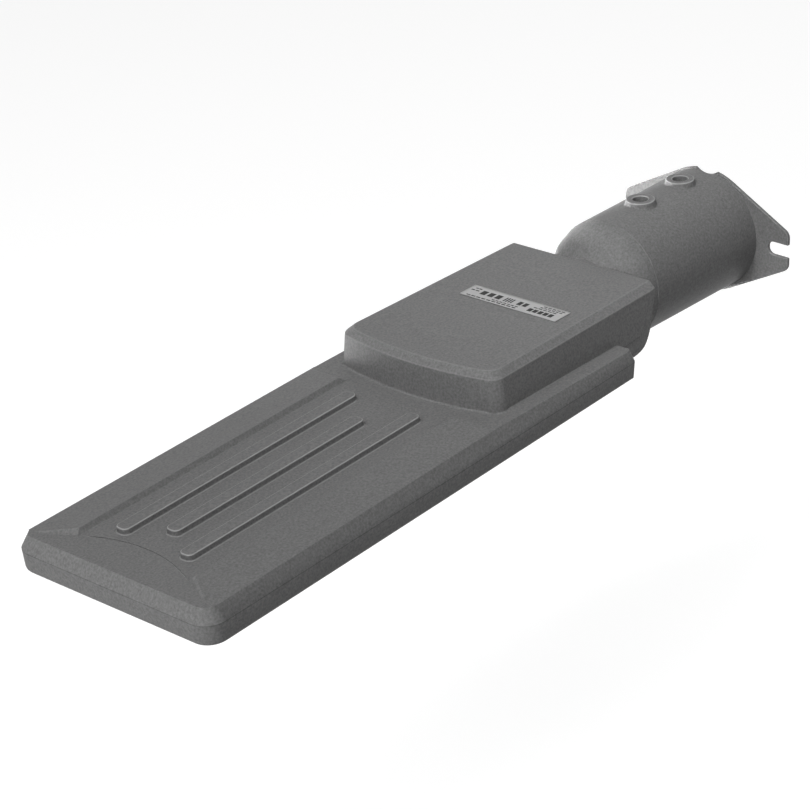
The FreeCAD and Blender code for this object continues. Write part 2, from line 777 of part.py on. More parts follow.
def add_shoulder(body):
    """Domed shoulder at the front of the tube, turned about the tube's axis from two tangent arcs."""
    depth = size("shoulder_length")
    radius = size("tube_front_radius") - size("shoulder_step")
    edge = size("shoulder_edge")
    offset = radius - edge
    crown = (depth * depth + offset * offset - edge * edge) / ((depth - edge) * 2)
    profile = new_sketch(body, "shoulder_profile", role="XZ_Plane",
                         base=(on_tube(size("tube_length"), 0)[0], on_tube(size("tube_length"), 0)[2], 0),
                         axis=Z_AXIS, turn=-tilt)
    big_centre = FreeCAD.Vector(crown.value - depth.value, 0, 0)
    small_centre = FreeCAD.Vector(0, offset.value, 0)
    along = (small_centre - big_centre).normalize()
    touch = small_centre + along * edge.value
    top = FreeCAD.Vector(0, radius.value, 0)
    tip = FreeCAD.Vector(-depth.value, 0, 0)
    bend_knee = small_centre + ((touch + top) / 2 - small_centre).normalize() * edge.value
    dome_knee = big_centre + ((touch + tip) / 2 - big_centre).normalize() * crown.value
    bend = profile.addGeometry(Part.Arc(top, bend_knee, touch), False)
    dome = profile.addGeometry(Part.Arc(touch, dome_knee, tip), False)
    rear = size("shoulder_step") * 10
    corners = [tip, FreeCAD.Vector(rear.value, 0, 0), FreeCAD.Vector(rear.value, radius.value, 0), top]
    lines = [profile.addGeometry(Part.LineSegment(corners[index], corners[index + 1]), False) for index in range(3)]
    constrain(profile, "Tangent", bend, 2, dome, 1)
    constrain(profile, "Radius", bend, amount=edge)
    pin_point(profile, bend, 3, as_size(0), offset)
    constrain(profile, "PointOnObject", dome, 3, -1)
    constrain(profile, "Coincident", dome, 2, lines[0], 1)
    constrain(profile, "Coincident", lines[0], 2, lines[1], 1)
    constrain(profile, "Coincident", lines[1], 2, lines[2], 1)
    constrain(profile, "Coincident", lines[2], 2, bend, 1)
    pin_point(profile, lines[0], 1, -depth, as_size(0))
    pin_point(profile, lines[1], 1, rear, as_size(0))
    pin_point(profile, lines[1], 2, rear, radius)
    constrain(profile, "PointOnObject", bend, 1, -2)
    turned = body.newObject("PartDesign::Revolution", "shoulder")
    turned.Profile = profile
    turned.ReferenceAxis = (profile, ["H_Axis"])
    turned.Angle = 360
    body.Tip = turned


def flange_spot(left, high):
    """Place in a sketch on the flange's rear face, from the distances left of and above the flange's centre."""
    turn = size("flange_turn")
    across = cosine(turn) * left - sine(turn) * high
    up = cosine(turn) * high + sine(turn) * left - size("flange_drop")
    return -up, across


def flange_corners():
    """Corners of the flange: a circle's tangents meet above and below, and end at the ears' flat sides."""
    radius = size("flange_radius")
    wide = size("flange_half_width")
    flat = size("flange_side_flat")
    tangent_length = root(wide * wide + flat * flat - radius * radius)
    touch = slope_angle(flat, wide) + slope_angle(tangent_length, radius)
    apex = radius / sine(touch)
    rounding = size("flange_corner")
    return [(*flange_spot(as_size(0), apex), radius), (*flange_spot(wide, flat), rounding),
            (*flange_spot(wide, -flat), rounding), (*flange_spot(as_size(0), -apex), radius),
            (*flange_spot(-wide, -flat), rounding), (*flange_spot(-wide, flat), rounding)]


def add_spigot(body):
    """Neck, domed shoulder, slightly flared tube, wall flange and the two clamp screw bosses."""
    along = tilt + 90
    neck_front = chamber_front + 2.5
    neck_rear = reach - size("bore_depth") + 2
    add_primitive(body, "AdditiveCylinder", "neck", {"Radius": size("neck_radius"), "Height": neck_rear - neck_front},
                  role="YZ_Plane", base=(0, gland_height, neck_front))
    add_shoulder(body)
    add_primitive(body, "AdditiveCone", "tube",
                  {"Radius1": size("tube_front_radius"), "Radius2": size("tube_mouth_radius"),
                   "Height": size("tube_length")},
                  base=on_tube(size("tube_length"), 0), axis=Y_AXIS, turn=along)
    flange = new_sketch(body, "flange_outline", base=on_tube(as_size(0), 0), axis=Y_AXIS, turn=along)
    add_outline(flange, flange_corners())
    extrude(body, "Pad", flange, "flange", size("flange_thickness"), reverse=True)
    boss_root = size("bore_radius") - 3
    boss_rise = size("boss_height") - boss_root
    for index, distance in enumerate(boss_distances):
        add_primitive(body, "AdditiveCone", f"boss_{index}",
                      {"Radius1": size("boss_radius") + boss_rise * tangent(size("boss_draft")),
                       "Radius2": size("boss_radius"), "Height": boss_rise},
                      base=on_tube(distance, boss_root), axis=Y_AXIS, turn=tilt)


def cut_spigot(body):
    """Bore, cable chamber, gland hole, tapped clamp holes, flange slots and notches."""
    along = tilt + 90
    add_primitive(body, "SubtractiveCylinder", "bore",
                  {"Radius": size("bore_radius"), "Height": size("bore_depth") + size("flange_thickness")},
                  base=on_tube(size("bore_depth"), 0), axis=Y_AXIS, turn=along)
    add_primitive(body, "SubtractiveCylinder", "chamber",
                  {"Radius": size("chamber_radius"), "Height": reach - size("bore_depth") + 4 - chamber_front},
                  role="YZ_Plane", base=(0, gland_height, chamber_front))
    add_primitive(body, "SubtractiveCylinder", "gland_hole",
                  {"Radius": size("gland_thread_radius") + size("hole_clearance"), "Height": size("gland_wall") + 2},
                  role="YZ_Plane", base=(0, gland_height, size("bay_rear") - 1))
    hole_root = size("bore_radius") - 5
    for index, distance in enumerate(boss_distances):
        add_primitive(body, "SubtractiveCylinder", f"clamp_hole_{index}",
                      {"Radius": size("clamp_hole_radius"), "Height": size("boss_height") - hole_root + 2},
                      base=on_tube(distance, hole_root), axis=Y_AXIS, turn=tilt)
    half_slot = size("slot_width") / 2
    open_end = size("flange_half_width") + half_slot * 2
    slots = new_sketch(body, "flange_slots", base=on_tube(as_size(0), 0), axis=Y_AXIS, turn=along)
    for side in (-1, 1):
        floor = size("slot_floor") * side
        mouth = open_end * side
        add_outline(slots, [(*flange_spot(floor, -half_slot), half_slot * 0.98),
                            (*flange_spot(floor, half_slot), half_slot * 0.98),
                            (*flange_spot(mouth, half_slot), None), (*flange_spot(mouth, -half_slot), None)])
    extrude(body, "Pocket", slots, "slot_cut", size("flange_thickness") * 4, both=True)
    notches = new_sketch(body, "flange_notches", base=on_tube(as_size(0), 0), axis=Y_AXIS, turn=along)
    notch_centre = size("flange_radius") - size("notch_depth") + size("notch_radius")
    for side in (-1, 1):
        add_circle(notches, *flange_spot(as_size(0), notch_centre * side), size("notch_radius"))
    extrude(body, "Pocket", notches, "notch_cut", size("flange_thickness") + size("notch_relief"))


def cut_lamp_bay(body):
    """Recess for the lens, a shallower seat for the board and the blind holes of their screws."""
    bay = new_sketch(body, "lamp_bay")
    add_band(bay, size("lamp_bay_front"), size("lamp_bay_rear"), size("lamp_bay_half"), size("lamp_bay_corner"))
    extrude(body, "Pocket", bay, "lamp_bay_cut", lamp_depth, reverse=True)
    slack = size("board_clearance")
    seat = new_sketch(body, "board_seat", base=(0, 0, lens_top))
    add_band(seat, board_front - slack, board_rear + slack, board_half + slack)
    extrude(body, "Pocket", seat, "board_seat_cut", board_ceiling - lens_top, reverse=True)
    radius = size("small_screw_radius") + size("hole_clearance")
    lens_holes = new_sketch(body, "lens_holes", base=(0, 0, lens_top))
    for spot_x, spot_y in lens_screw_spots:
        add_circle(lens_holes, spot_x, spot_y, radius)
    extrude(body, "Pocket", lens_holes, "lens_hole_cut", lamp_depth - lens_top + size("thread_depth"), reverse=True)
    board_holes = new_sketch(body, "board_holes", base=(0, 0, lamp_depth))
    for spot_x, spot_y in board_screw_spots:
        add_circle(board_holes, spot_x, spot_y, radius)
    extrude(body, "Pocket", board_holes, "board_hole_cut", size("board_thickness") + board_grip, reverse=True)


def cut_driver_bay(body):
    """Recess for the driver with its gasket groove, blind screw holes, grommet seat and lead holes."""
    bay = new_sketch(body, "driver_bay")
    add_band(bay, size("bay_front"), size("bay_rear"), size("bay_half"), size("bay_corner"))
    extrude(body, "Pocket", bay, "driver_bay_cut", bay_ceiling, reverse=True)
    groove = new_sketch(body, "gasket_groove")
    for spread in (groove_inner, groove_outer):
        add_band(groove, size("bay_front") - spread, size("bay_rear") + spread, size("bay_half") + spread,
                 size("bay_corner") + spread)
    extrude(body, "Pocket", groove, "gasket_groove_cut", size("groove_depth"), reverse=True)
    cover_holes = new_sketch(body, "cover_holes")
    for spot_x, spot_y in cover_screw_spots:
        add_circle(cover_holes, spot_x, spot_y, size("large_screw_radius") + size("hole_clearance"))
    extrude(body, "Pocket", cover_holes, "cover_hole_cut", cover_grip, reverse=True)
    roof_holes = new_sketch(body, "roof_holes", base=(0, 0, bay_ceiling))
    for spot_x, spot_y in driver_screw_spots + [lug_spot]:
        add_circle(roof_holes, spot_x, spot_y, size("small_screw_radius") + size("hole_clearance"))
    extrude(body, "Pocket", roof_holes, "roof_hole_cut", size("thread_depth"), reverse=True)
    seat = new_sketch(body, "grommet_seat", role="YZ_Plane", base=(lead_middle, lead_height, size("bay_front")))
    half_wide = size("grommet_width") / 2
    half_high = size("grommet_height") / 2
    add_rectangle(seat, -half_wide, half_wide, -half_high, half_high)
    extrude(body, "Pocket", seat, "grommet_seat_cut", size("grommet_depth"))
    passages = new_sketch(body, "lead_passages", role="YZ_Plane",
                          base=(lead_middle, lead_height, size("bay_front")))
    for side in (-1, 1):
        add_circle(passages, size("lead_pitch") / 2 * side, as_size(0), size("lead_radius") + size("hole_clearance"))
    extrude(body, "Pocket", passages, "lead_passage_cut", size("bay_front") - board_rear)


boss_distances = (size("boss_mouth_distance") + size("boss_pitch"), size("boss_mouth_distance"))
board_grip = as_size(2)
cover_grip = as_size(10)
screw_gap = size("hole_clearance") * 2
screw_hole = size("small_screw_radius") + size("hole_clearance")
housing = new_body("housing")
for step in (add_plate, add_rear_slope, add_facets, add_ramp, add_ribs, add_box, add_spigot, cut_spigot,
             cut_lamp_bay, cut_driver_bay):
    step(housing)
    doc.recompute()


# Lamp bay: lens plate, gasket, board and chips


def lens_band(sketch, inset, rounding):
    """Outline of the lens or its gasket, drawn in from the walls of the lamp bay."""
    add_band(sketch, size("lamp_bay_front") + inset, size("lamp_bay_rear") - inset, size("lamp_bay_half") - inset,
             rounding)


lens_slack = size("lens_clearance")
lens_base = new_body("lens_base", placed=False)
lens_sketch = new_sketch(lens_base, "lens_outline", base=(0, 0, lens_bottom))
lens_band(lens_sketch, lens_slack, size("lamp_bay_corner") - lens_slack)
for spot_x, spot_y in lens_screw_spots:
    add_circle(lens_sketch, spot_x, spot_y, screw_hole)
extrude(lens_base, "Pad", lens_sketch, "lens_pad", size("lens_thickness"))
lamp_middle = (size("lamp_bay_front") + size("lamp_bay_rear")) / 2
dome_spots = []
for row in range(LENS_ROWS):
    for column in range(LENS_COLUMNS):
        spot_x = lamp_middle + size("dome_pitch_long") * (row - (LENS_ROWS - 1) / 2)
        spot_y = size("dome_pitch_wide") * (column - (LENS_COLUMNS - 1) / 2)
        dome_spots.append((spot_x, spot_y))
domes = []
for index, (spot_x, spot_y) in enumerate(dome_spots):
    dome = doc.addObject("Part::Cone", f"dome_{index}")
    bind(dome, "Radius1", size("dome_crown") / 2)
    bind(dome, "Radius2", size("dome_width") / 2)
    bind(dome, "Height", size("dome_height"))
    for letter, spot in zip("xyz", (spot_x, spot_y, lens_bottom - size("dome_height"))):
        bind(dome, "Placement.Base." + letter, spot)
    domes.append(dome)
finish("lens_plate", join("lens_plate", lens_base, *domes))

lens_gasket = new_body("lens_gasket")
gasket_sketch = new_sketch(lens_gasket, "lens_gasket_outline", base=(0, 0, lens_top))
lens_band(gasket_sketch, lens_slack, size("lamp_bay_corner") - lens_slack)
lens_band(gasket_sketch, size("gasket_width"), None)
for spot_x, spot_y in lens_screw_spots:
    add_circle(gasket_sketch, spot_x, spot_y, screw_hole)
extrude(lens_gasket, "Pad", gasket_sketch, "lens_gasket_pad", size("gasket_thickness"))

led_board = new_body("led_board")
board_sketch = new_sketch(led_board, "board_outline", base=(0, 0, lamp_depth))
add_band(board_sketch, board_front, board_rear, board_half)
for spot_x, spot_y in board_screw_spots:
    add_circle(board_sketch, spot_x, spot_y, screw_hole)
extrude(led_board, "Pad", board_sketch, "board_pad", size("board_thickness"))

chip_side = size("chip_side")
group("led_chips", [block(f"chip_{index}", (spot_x - chip_side / 2, spot_y - chip_side / 2,
                                            lamp_depth - size("chip_height")),
                          (chip_side, chip_side, size("chip_height")))
                    for index, (spot_x, spot_y) in enumerate(dome_spots)])
group("board_screws", [screw(f"board_screw_{index}", spot_x, spot_y, lamp_depth, False,
                             size("board_thickness") + board_grip - screw_gap)
                       for index, (spot_x, spot_y) in enumerate(board_screw_spots)])
lens_grip = lamp_depth - lens_bottom + size("thread_depth") - screw_gap
group("lens_screws", [screw(f"lens_screw_{index}", spot_x, spot_y, lens_bottom, False, lens_grip)
                      for index, (spot_x, spot_y) in enumerate(lens_screw_spots)])

# Driver bay: cover, gasket, driver, terminals and wiring

driver_cover = new_body("driver_cover")
cover_sketch = new_sketch(driver_cover, "cover_outline")
add_band(cover_sketch, cover_front, cover_rear, size("cover_half"), size("bay_corner"))
for spot_x, spot_y in cover_screw_spots:
    add_circle(cover_sketch, spot_x, spot_y, size("large_screw_radius") + size("hole_clearance"))
extrude(driver_cover, "Pad", cover_sketch, "cover_pad", size("cover_thickness"), reverse=True)

cover_gasket = new_body("driver_cover_gasket")
ring_sketch = new_sketch(cover_gasket, "cover_gasket_outline")
for spread in (groove_inner + size("fit_clearance"), groove_outer - size("fit_clearance")):
    add_band(ring_sketch, size("bay_front") - spread, size("bay_rear") + spread, size("bay_half") + spread,
             size("bay_corner") + spread)
extrude(cover_gasket, "Pad", ring_sketch, "cover_gasket_pad", size("groove_depth"))

group("driver_cover_screws", [screw(f"cover_screw_{index}", spot_x, spot_y, -size("cover_thickness"), True,
                                    size("cover_thickness") + cover_grip - screw_gap)
                              for index, (spot_x, spot_y) in enumerate(cover_screw_spots)])

driver_low = bay_ceiling - size("driver_height")
driver_right = size("driver_centre") - size("driver_width") / 2
case_front = size("driver_front") + size("cap_length")
group("driver_case", [block("driver_shell", (case_front, driver_right, driver_low),
                            (size("driver_length"), size("driver_width"), size("driver_height")))])
for label, cap_front, ear_front in (("driver_front_cap", size("driver_front"), size("driver_front")),
                                    ("driver_rear_cap", case_front + size("driver_length"),
                                     driver_rear - size("ear_length"))):
    cap = block(label + "_face", (cap_front, driver_right, driver_low),
                (size("cap_length"), size("driver_width"), size("driver_height")))
    pieces = [cap]
    tools = []
    for side, word in ((-1, "right"), (1, "left")):
        edge = driver_right - size("ear_reach") if side < 0 else driver_right + size("driver_width")
        pieces.append(block(f"{label}_ear_{word}", (ear_front, edge, bay_ceiling - size("ear_thickness")),
                            (size("ear_length"), size("ear_reach"), size("ear_thickness"))))
        tools.append(cylinder(f"{label}_hole_{word}", screw_hole, size("ear_thickness") * 2,
                              (ear_front + size("ear_length") / 2, size("driver_centre") + ear_line * side,
                               bay_ceiling - size("ear_thickness") * 1.5)))
    finish(label, cut(label, join(label + "_blank", *pieces), *tools))
group("driver_screws", [screw(f"driver_screw_{index}", spot_x, spot_y, bay_ceiling - size("ear_thickness"), False,
                              size("ear_thickness") + size("thread_depth") - screw_gap)
                        for index, (spot_x, spot_y) in enumerate(driver_screw_spots)])

terminal_low = bay_ceiling - size("terminal_height")
terminal_spots = [(size("terminal_front") + size("terminal_length") * share,
                   -size("terminal_centre") + size("wire_pitch") * lane)
                  for share in (0.25, 0.75) for lane in (-1, 0, 1)]
terminal_blank = block("terminal_blank",
                       (size("terminal_front"), -size("terminal_centre") - size("terminal_width") / 2, terminal_low),
                       (size("terminal_length"), size("terminal_width"), size("terminal_height")))
terminal_holes = [cylinder(f"terminal_hole_{index}", screw_hole, size("thread_depth") * 2,
                           (spot_x, spot_y, terminal_low - size("thread_depth")))
                  for index, (spot_x, spot_y) in enumerate(terminal_spots)]
finish("terminal_block", cut("terminal_block", terminal_blank, *terminal_holes))
group("terminal_screws", [screw(f"terminal_screw_{index}", spot_x, spot_y, terminal_low, False,
                                size("thread_depth") - screw_gap)
                          for index, (spot_x, spot_y) in enumerate(terminal_spots)])

# Mains wires: two short ones from the terminals across to the driver, and the earth wire forward to its lug

wire_start = -size("terminal_centre") + size("terminal_width") / 2
for label, share in (("wire_live", 0.25), ("wire_neutral", 0.75)):
    group(label, [cylinder(label + "_core", size("wire_radius"), driver_right - wire_start,
                           (size("terminal_front") + size("terminal_length") * share, wire_start, wire_height),
                           Y_AXIS)])
lug_low = bay_ceiling - size("lug_thickness")
lug_x, lug_y = lug_spot
lug_tail = size("lug_radius") * 2.4
lug_ring = cylinder("lug_ring", size("lug_radius"), size("lug_thickness"), (lug_x, lug_y, lug_low))
lug_tongue = block("lug_tongue", (lug_x, lug_y - size("wire_radius") * 2, lug_low),
                   (lug_tail, size("wire_radius") * 4, size("lug_thickness")))
lug_hole = cylinder("lug_hole", screw_hole, size("lug_thickness") * 2, (lug_x, lug_y, lug_low - size("lug_thickness") / 2))
finish("earth_lug", cut("earth_lug", join("lug_blank", lug_ring, lug_tongue), lug_hole))
finish("earth_screw", screw("earth_screw", lug_x, lug_y, lug_low, False,
                            size("lug_thickness") + size("thread_depth") - screw_gap))
earth_front = lug_x + size("lug_radius")
group("wire_earth", [cylinder("wire_earth_core", size("wire_radius"), size("terminal_front") - earth_front,
                              (earth_front, lug_y, lug_low - size("wire_radius")), X_AXIS)])
for label, side in (("lead_plus", 1), ("lead_minus", -1)):
    group(label, [cylinder(label + "_core", size("lead_radius"), size("driver_front") - board_rear,
                           (board_rear, lead_middle + size("lead_pitch") / 2 * side, lead_height), X_AXIS)])
grommet_front = size("bay_front") - size("grommet_depth")
grommet_blank = block("grommet_blank", (grommet_front, lead_middle - size("grommet_width") / 2,
                                        lead_height - size("grommet_height") / 2),
                      (size("grommet_depth"), size("grommet_width"), size("grommet_height")))
grommet_holes = [cylinder(f"grommet_hole_{word}", size("lead_radius"), size("grommet_depth") * 2,
                          (grommet_front - 1, lead_middle + size("lead_pitch") / 2 * side, lead_height), X_AXIS)
                 for side, word in ((-1, "right"), (1, "left"))]
finish("lead_grommet", cut("lead_grommet", grommet_blank, *grommet_holes))

# Cable gland in the chamber behind the driver bay


def gland_rod(name, radius, start, length):
    """A cylinder on the gland's axis."""
    return cylinder(name, radius, length, (start, as_size(0), gland_height), X_AXIS)


nut_front = size("bay_rear") - size("gland_nut")
flange_rear = chamber_front + size("gland_flange")
stub_rear = flange_rear + size("gland_stub")
cap_front = flange_rear + size("fit_clearance") * 3
cap_rear = cap_front + size("gland_cap_length")
seal_rear = cap_rear - size("gland_lip")
stub_radius = size("gland_thread_radius") - 1
gland_blank = join("gland_blank",
                   gland_rod("gland_thread", size("gland_thread_radius"), nut_front, chamber_front - nut_front),
                   gland_rod("gland_collar", size("gland_flange_radius"), chamber_front, size("gland_flange")),
                   gland_rod("gland_stub", stub_radius, flange_rear, size("gland_stub")))
gland_bore = gland_rod("gland_bore", size("gland_bore_radius"), nut_front - 1, stub_rear - nut_front + 2)
finish("gland_body", cut("gland_body", gland_blank, gland_bore))
cap_blank = gland_rod("gland_cap_blank", size("gland_flange_radius") - 0.5, cap_front, size("gland_cap_length"))
cap_socket = gland_rod("gland_cap_socket", stub_radius + size("fit_clearance"), cap_front - 1, seal_rear - cap_front + 1)
cap_hole = gland_rod("gland_cap_hole", size("gland_bore_radius"), cap_front, size("gland_cap_length") + 1)
finish("gland_cap", cut("gland_cap", cap_blank, cap_socket, cap_hole))
seal_blank = gland_rod("gland_seal_blank", stub_radius, stub_rear, seal_rear - stub_rear)
seal_hole = gland_rod("gland_seal_hole", size("gland_bore_radius"), stub_rear - 1, seal_rear - stub_rear + 2)
finish("gland_seal", cut("gland_seal", seal_blank, seal_hole))
nut_blank = doc.addObject("Part::Prism", "gland_nut_blank")
nut_blank.Polygon = 6
bind(nut_blank, "Circumradius", size("gland_flange_radius") + 0.5)
bind(nut_blank, "Height", size("gland_nut"))
nut_blank.Placement = FreeCAD.Placement(FreeCAD.Vector(), FreeCAD.Rotation(Y_AXIS, 90))
bind(nut_blank, "Placement.Base.x", nut_front)
bind(nut_blank, "Placement.Base.z", gland_height)
nut_hole = gland_rod("gland_nut_hole", size("gland_thread_radius"), nut_front - 1, size("gland_nut") + 2)
finish("gland_nut", cut("gland_nut", nut_blank, nut_hole))

# Rating label on the sloped top of the box

label_fall = slope_angle(size("box_front_height") - size("box_rear_height"), size("box_rear") - size("box_front"))
rating_label = new_body("rating_label")
label_sketch = new_sketch(rating_label, "label_outline", axis=Y_AXIS, turn=label_fall,
                          base=(0, 0, size("box_front_height") + tangent(label_fall) * size("box_front")))
label_low = -size("label_offset") - size("label_length") / 2
add_rectangle(label_sketch, size("label_start"), size("label_start") + size("label_width"), label_low,
              label_low + size("label_length"))
extrude(rating_label, "Pad", label_sketch, "label_pad", size("label_thickness"))

# Checks and files

NODES = ("housing", "lens_plate", "lens_gasket", "led_board", "led_chips", "board_screws", "lens_screws",
         "driver_cover", "driver_cover_gasket", "driver_cover_screws", "driver_case", "driver_front_cap",
         "driver_rear_cap", "driver_screws", "terminal_block", "terminal_screws", "wire_live", "wire_neutral",
         "wire_earth", "earth_lug", "earth_screw", "lead_plus", "lead_minus", "lead_grommet", "gland_body",
         "gland_cap", "gland_seal", "gland_nut", "rating_label")
doc.recompute()
failed = [item.Name for item in doc.Objects if "Invalid" in item.State or "Error" in item.State]
if failed:
    raise RuntimeError("failed objects: " + ", ".join(failed))
pieces = {}
for label in NODES:
    found = doc.getObjectsByLabel(label)
    if len(found) != 1:
        raise RuntimeError(f"{label} names {len(found)} objects")
    shape = found[0].Shape
    if shape.isNull() or not shape.isValid() or not shape.Solids:
        raise RuntimeError(label + " has no valid solid")
    pieces[label] = shape
os.makedirs("parts", exist_ok=True)
for label, shape in pieces.items():
    shape.exportStep("parts/" + label + ".step")
    box = shape.BoundBox
    print(f"{label}: {len(shape.Solids)} solids, {shape.Volume:.0f} mm3, x {box.XMin:.1f} to {box.XMax:.1f}")
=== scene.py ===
import json
import math

import bmesh
import bpy
from mathutils import Matrix, Vector
from mathutils.bvhtree import BVHTree


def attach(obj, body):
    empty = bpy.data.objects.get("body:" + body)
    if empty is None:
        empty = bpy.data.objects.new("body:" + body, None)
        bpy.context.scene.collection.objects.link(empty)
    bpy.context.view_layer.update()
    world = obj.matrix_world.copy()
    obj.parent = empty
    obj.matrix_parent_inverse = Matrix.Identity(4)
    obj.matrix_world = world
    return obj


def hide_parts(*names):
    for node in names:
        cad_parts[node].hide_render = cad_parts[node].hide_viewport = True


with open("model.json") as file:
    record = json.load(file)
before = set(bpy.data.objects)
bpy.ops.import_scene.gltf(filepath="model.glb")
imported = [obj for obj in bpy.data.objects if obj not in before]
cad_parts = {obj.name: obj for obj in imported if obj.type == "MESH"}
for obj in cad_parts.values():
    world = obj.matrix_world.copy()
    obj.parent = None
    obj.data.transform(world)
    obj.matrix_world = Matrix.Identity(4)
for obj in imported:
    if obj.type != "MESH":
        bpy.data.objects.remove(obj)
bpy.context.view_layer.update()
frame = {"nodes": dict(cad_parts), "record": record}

# Places and lengths are in metres, in the part's frame, unless a name or comment says otherwise

# Camera of the photograph
CAMERA_PLACE = (-1.109783, -0.820333, 0.617994)
CAMERA_RIGHT = (0.657641, -0.748794, -0.082562)
CAMERA_UP = (0.395823, 0.250214, 0.883582)
CAMERA_BACK = (-0.640962, -0.613760, 0.460940)
SENSOR_MM = 36.0
LENS_MM = 120.8917
CLIP_NEAR = 0.05
CLIP_FAR = 20.0

# Joining of doubled vertices and flat faces, and the bend from which an edge is shaded sharp
WELD = 2e-6
FLAT = math.radians(0.05)
SHARP = math.radians(32)

# Head plate
PLATE_TIP = -0.4547
PLATE_REAR = -0.1480
PLATE_HALF = 0.064
FRONT_CORNER = 0.0107
REAR_CORNER = 0.0035

# The plate's wall, drawn out below the seam
SEAM_LEVEL = -0.0003
WALL_HALF = 0.0578
WALL_DEPTH = 0.0074
RIM_DROP = 0.01108
RIM_INSET = 0.0027
UPRIGHT_INSET = 0.0006

# Rounding of the plate's lower edge, which runs out round the rear corners
RIM_ROUND = 0.0022
RIM_STEPS = 4
RIM_LEVEL = -0.0110
RIM_HALF = 0.0575
RIM_TIP = -0.4500
RIM_BEND = math.radians(50)
CORNER_START = -0.1527
CORNER_REACH = 0.0030
LEAST_RIM = 0.08

# Spigot tube, which tilts down to the rear, and its domed front end
SPIGOT_TILT = math.radians(2.28)
DOME_REAR = -0.0892
DOME_LENGTH = 0.034
DOME_LOW = 0.0210
DOME_RISE = 0.004
DOME_CORE = 0.020
DOME_PULL = 0.0019
DOME_SEAM = 0.0006

# Roundings of the casting's other edges, with their bends in degrees
EDGE_ROUND = 0.00045
FOOT_FILLET = 0.0011
RIB_FILLET = 0.0005
BEVEL_STEPS = 3
LEAST_BEND = 20
MOST_BEND = 125
SHORTEST_EDGE = 0.0003
STRAY_SHARE = 0.5

# Where edges are left as cast: inside the bays and the bore
LAMP_BAY_REAR = -0.2535
LAMP_BAY_HALF = 0.0575
LAMP_BAY_TOP = 0.0062
DRIVER_BAY_FRONT = -0.2435
DRIVER_BAY_REAR = -0.147
DRIVER_BAY_HALF = 0.050
DRIVER_BAY_TOP = 0.0215
BORE_FRONT = -0.152
BORE_RADIUS = 0.0310

# Where edges are left as cast: beside the neck and on the plate's rim, facets and ledge
NECK_FRONT = -0.140
NECK_REAR = -0.060
NECK_HALF = 0.030
NECK_TOP = 0.0235
PLATE_TOP = 0.0105
TIP_BEVEL = -0.448
FACET_REAR = -0.2525
FACET_HALF = 0.030
LEDGE_HALF = 0.0585

# Where inner corners get no fillet, and the box's foot, where it is widest
JOIN_FRONT = -0.135
JOIN_REAR = -0.090
FLANGE_FRONT = -0.012
LOWEST_FILLET = 0.003
BOX_FRONT = -0.256
BOX_REAR = -0.120
FOOT_TOP = 0.0085

# How strong an edge's painted highlight is, and which edges belong to the ribs and the bosses
EDGE_HIGHLIGHT_GAIN = 2.0
BOX_EDGE_HIGHLIGHT = 0.2
FOOT_EDGE_HIGHLIGHT = 0.5
RIBS_REAR = -0.2545
BOSSES_FRONT = -0.080
BOSSES_LOW = 0.0345

# Powder coat, its faint patches and its flecks. A grain or cloud is scale, detail, roughness
PAINT = (0.131, 0.131, 0.131)
PAINT_ROUGHNESS = 0.46
PAINT_SPREAD = 0.05
PAINT_SPECULAR = 0.07
CLOUD = (14.0, 4.0, 0.55)
PATCH = 0.04
GRAIN = (850.0, 3.0, 0.6)
GRAIN_HEIGHT = 0.00012
SPECK = 0.22
SPECK_FROM = 0.3
SPECK_TO = 0.7
# Samples of the shader's edge rounding, and the turns of its normal at which an edge's painted
# highlight starts and is full
EDGE_SAMPLES = 6
HIGHLIGHT_STARTS = 0.998
HIGHLIGHT_FULL = 0.94

# The casting's parting line, which falls a little to the rear, and the painted shade along it
PARTING_SHADE = 0.72
PARTING_HALF = 0.00024
PARTING_FALL = 0.004566
PARTING_LEVEL = -0.00220

# The other finishes: colour, roughness, metal and transmission, and the faint grain of all
FINISHES = {
    "clear_lens": ((0.92, 0.94, 0.95), 0.08, 0.0, 0.85),
    "seal_rubber": ((0.03, 0.03, 0.03), 0.7),
    "board": ((0.82, 0.83, 0.81), 0.35),
    "chip": ((0.80, 0.66, 0.20), 0.4),
    "steel": ((0.62, 0.62, 0.63), 0.3, 1.0),
    "driver_shell": ((0.72, 0.73, 0.74), 0.35, 1.0),
    "driver_plastic": ((0.05, 0.05, 0.055), 0.5),
    "terminal_plastic": ((0.75, 0.74, 0.70), 0.45),
    "brass": ((0.72, 0.55, 0.25), 0.3, 1.0),
    "wire_brown": ((0.2, 0.09, 0.04), 0.45),
    "wire_blue": ((0.05, 0.14, 0.45), 0.45),
    "wire_green": ((0.1, 0.35, 0.08), 0.45),
    "wire_red": ((0.45, 0.03, 0.03), 0.45),
    "wire_black": ((0.02, 0.02, 0.02), 0.45),
    "gland_plastic": ((0.04, 0.04, 0.04), 0.5),
}
FAINT_GRAIN = (900.0, 3.0, 0.6)
FAINT_HEIGHT = 0.00002
FAINT_SPREAD = 0.06
LEAST_ROUGHNESS = 0.02

